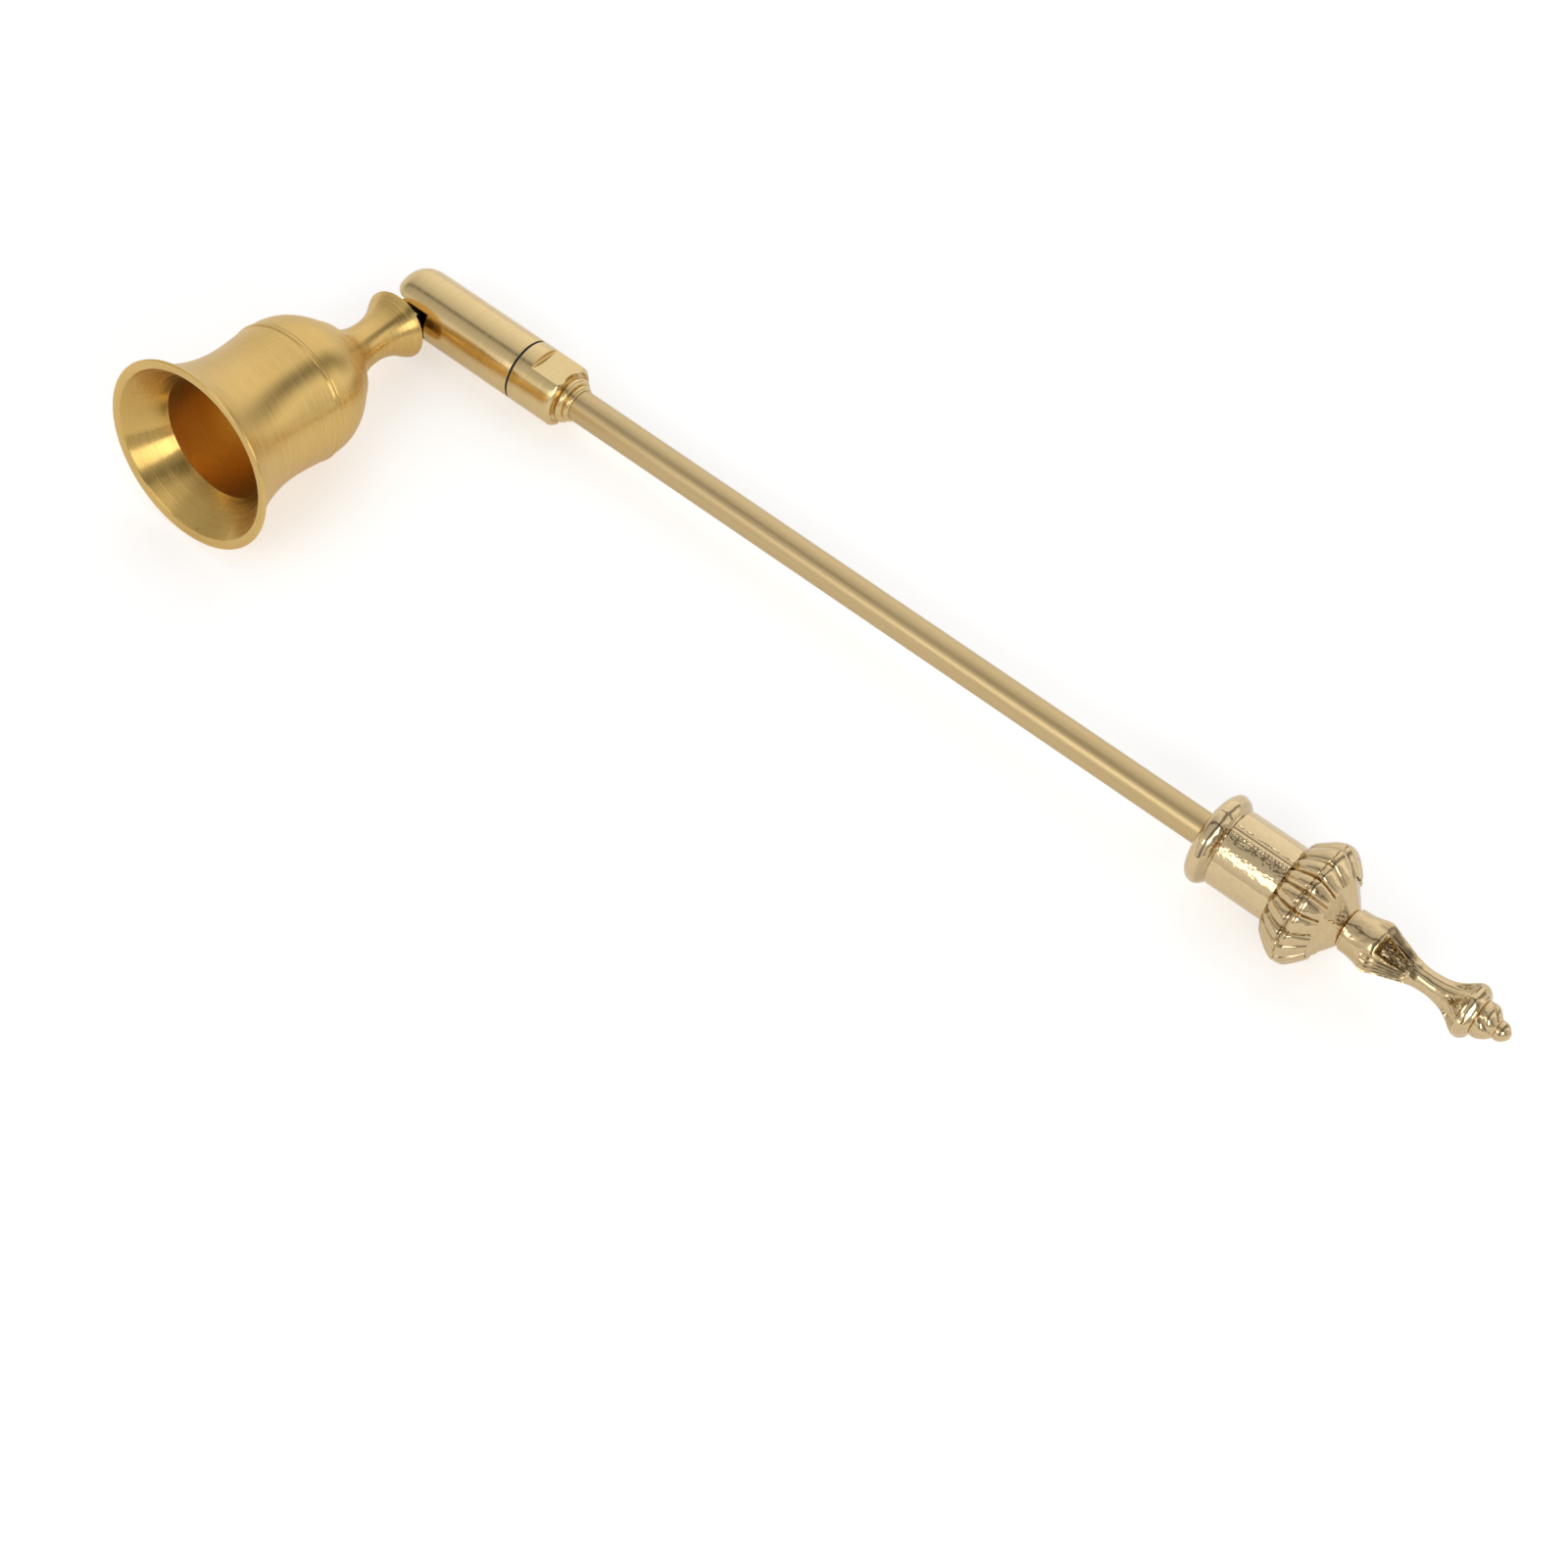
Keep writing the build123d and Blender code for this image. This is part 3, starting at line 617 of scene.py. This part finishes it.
def finial():
    leaf = flow([(168.62, 3.28), (170.2, 3.38), (171.4, 3.6), (172.3, 3.82), (172.95, 3.9), (173.6, 3.78),
                 (174.7, 3.3), (176.3, 2.77), (177.9, 2.24), (179.5, 1.82), (181.0, 1.68), (182.6, 1.79),
                 (184.2, 2.15), (185.7, 2.85), (186.7, 3.6), (187.3, 3.98)], 8)
    bulb = flow([(187.45, 4.06), (187.8, 4.12), (188.3, 4.1), (188.9, 3.8), (189.35, 3.3), (189.5, 2.75)], 6)
    bead = flow([(189.56, 2.7), (189.64, 2.82), (189.8, 2.82)], 3) + flow(
        [(190.3, 2.82), (190.9, 2.7), (191.5, 2.36), (192.0, 1.86), (192.3, 1.5)], 6)
    tip = [(192.38, 1.36), (192.44, 1.46), (192.55, 1.5)] + flow(
        [(193.0, 1.48), (193.5, 1.28), (194.0, 0.82), (194.28, 0.4), (194.35, 0.0)], 6)
    outline = [(KNOP_END, 0.0), (KNOP_END, 3.0), (168.5, 3.02), (168.56, 3.2)] + leaf + bulb + bead + tip
    return cast_skin(turned_piece(outline, ROD_AXIS, 300), 1.6, finial_skin)


place("rod_drawn", rod(), "handle", [rod_drawn], ["rod"])
place("handle_sleeve_cast", sleeve(), "handle", [cast_plate], ["handle_sleeve"], crease=35)
place("handle_knop_cast", knop(), "handle", [cast_relief_painted_shade], ["handle_knop"], crease=24)
place("handle_finial_cast", finial(), "handle", [cast_relief_painted_shade], ["handle_finial"], crease=35)


# Floor, light and camera

def studio_floor():
    """A pale floor that looks white to the camera and keeps the shadow."""
    half_width = 2.0
    gap_below = 0.00005
    glow_on_metal = 0.20
    glow_to_camera = 0.46
    bm = bmesh.new()
    bmesh.ops.create_grid(bm, x_segments=1, y_segments=1, size=half_width)
    mesh = bpy.data.meshes.new("studio_floor")
    bm.to_mesh(mesh)
    bm.free()
    sheet = bpy.data.objects.new("studio_floor", mesh)
    sheet.location = (0, 0, -gap_below)
    bpy.context.scene.collection.objects.link(sheet)
    paint = bpy.data.materials.new("studio_floor")
    paint.use_nodes = True
    tree = paint.node_tree
    shader = tree.nodes["Principled BSDF"]
    pale = (0.93, 0.93, 0.93, 1)
    shader.inputs["Base Color"].default_value = pale
    shader.inputs["Roughness"].default_value = 0.9
    shader.inputs["Specular IOR Level"].default_value = 0.0
    shader.inputs["Emission Color"].default_value = pale
    seen = add_node(tree, "ShaderNodeLightPath")
    glow = ranged(tree, seen.outputs["Is Camera Ray"], glow_on_metal, glow_to_camera, 0.0, 1.0)
    tree.links.new(glow, shader.inputs["Emission Strength"])
    mesh.materials.append(paint)


def softbox(name, centre, aim, size, power):
    """A soft rectangular studio light."""
    light = bpy.data.lights.new(name, "AREA")
    light.shape = "RECTANGLE"
    light.size, light.size_y = size
    light.energy = power
    lamp = bpy.data.objects.new(name, light)
    lamp.location = centre
    lamp.rotation_euler = (Vector(aim) - Vector(centre)).to_track_quat("-Z", "Y").to_euler()
    bpy.context.scene.collection.objects.link(lamp)


def light_ramp(tree, value, levels):
    """Grey levels along a value: a list of (value, level) from the lowest value to the highest."""
    lowest, highest = levels[0][0], levels[-1][0]
    ramp = add_node(tree, "ShaderNodeValToRGB")
    stops = ramp.color_ramp.elements
    stops[1].position = 1.0
    for index, (where, level) in enumerate(levels):
        position = (where - lowest) / (highest - lowest)
        ends = {0: stops[0], len(levels) - 1: stops[len(stops) - 1]}
        stop = ends[index] if index in ends else stops.new(position)
        stop.color = (level, level, level, 1)
    tree.links.new(ranged(tree, value, 0.0, 1.0, lowest, highest), ramp.inputs["Fac"])
    return ramp.outputs["Color"]


def studio_room():
    """A tent along the rod: brighter and darker by the tilt from overhead in degrees, front positive,
    and by how far the look goes along the rod, with a dark gap where the camera stands."""
    tilts = [(-180, 0.75), (-93, 1.0), (-66, 1.0), (-46, 0.92), (-28, 0.82), (-8, 0.68), (3, 0.56), (6, 0.16),
             (12, 0.16), (16, 0.52), (43, 0.60), (50, 0.76), (58, 0.88), (68, 0.80), (80, 0.68), (95, 0.62),
             (180, 0.75)]
    sideways = [(-1.0, 0.68), (-0.80, 0.74), (-0.62, 0.84), (-0.50, 0.88), (0.08, 0.88), (0.20, 0.46),
                (0.30, 0.24), (0.42, 0.26), (0.52, 0.60), (0.62, 1.0), (0.72, 1.0), (0.80, 0.56), (1.0, 0.64)]
    world = bpy.data.worlds.new("studio_room")
    bpy.context.scene.world = world
    world.use_nodes = True
    room = world.node_tree
    room.nodes.clear()
    outlook = add_node(room, "ShaderNodeTexCoord")
    parts = add_node(room, "ShaderNodeSeparateXYZ")
    forwards = add_node(room, "ShaderNodeMath", {"operation": "MULTIPLY"})
    forwards.inputs[1].default_value = -1.0
    tilt = add_node(room, "ShaderNodeMath", {"operation": "ARCTAN2"})
    level = add_node(room, "ShaderNodeMath", {"operation": "MULTIPLY"})
    glow = add_node(room, "ShaderNodeBackground", values={"Strength": 1.17})
    room_output = add_node(room, "ShaderNodeOutputWorld")
    room.links.new(outlook.outputs["Generated"], parts.inputs["Vector"])
    room.links.new(parts.outputs["Y"], forwards.inputs[0])
    room.links.new(forwards.outputs["Value"], tilt.inputs[0])
    room.links.new(parts.outputs["Z"], tilt.inputs[1])
    by_tilt = light_ramp(room, tilt.outputs["Value"], [(math.radians(turn), value) for turn, value in tilts])
    by_side = light_ramp(room, parts.outputs["X"], sideways)
    room.links.new(by_tilt, level.inputs[0])
    room.links.new(by_side, level.inputs[1])
    room.links.new(level.outputs["Value"], glow.inputs["Color"])
    room.links.new(glow.outputs["Background"], room_output.inputs["Surface"])


def photo_camera():
    """The camera stands where the photograph was taken from, in bench directions."""
    lens = bpy.data.cameras.new("photo_camera")
    lens.lens = 81.0
    lens.sensor_width = 36.0
    lens.clip_start = 0.01
    camera = bpy.data.objects.new("photo_camera", lens)
    bpy.context.scene.collection.objects.link(camera)
    picture_right = Vector((0.772739, 0.612461, 0.166630))
    picture_down = Vector((0.546837, -0.509109, -0.664663))
    picture_depth = Vector((-0.322248, 0.604731, -0.728325))
    camera_turn = Matrix((picture_right, -picture_down, -picture_depth)).transposed()
    camera_spot = Vector((252.47, -325.88, 348.23))
    camera.matrix_world = (Matrix.Translation(bench_to_table @ camera_spot)
                           @ (bench_turn @ camera_turn).to_4x4())
    bpy.context.scene.camera = camera


studio_floor()
softbox("left_softbox", (-0.10, -0.72, 0.56), (0, 0, 0), (0.45, 0.30), 0.75)
softbox("right_softbox", (0.72, -0.42, 0.50), (0, 0, 0), (0.40, 0.40), 1.5)
studio_room()
photo_camera()
bpy.context.scene.view_settings.view_transform = "Standard"
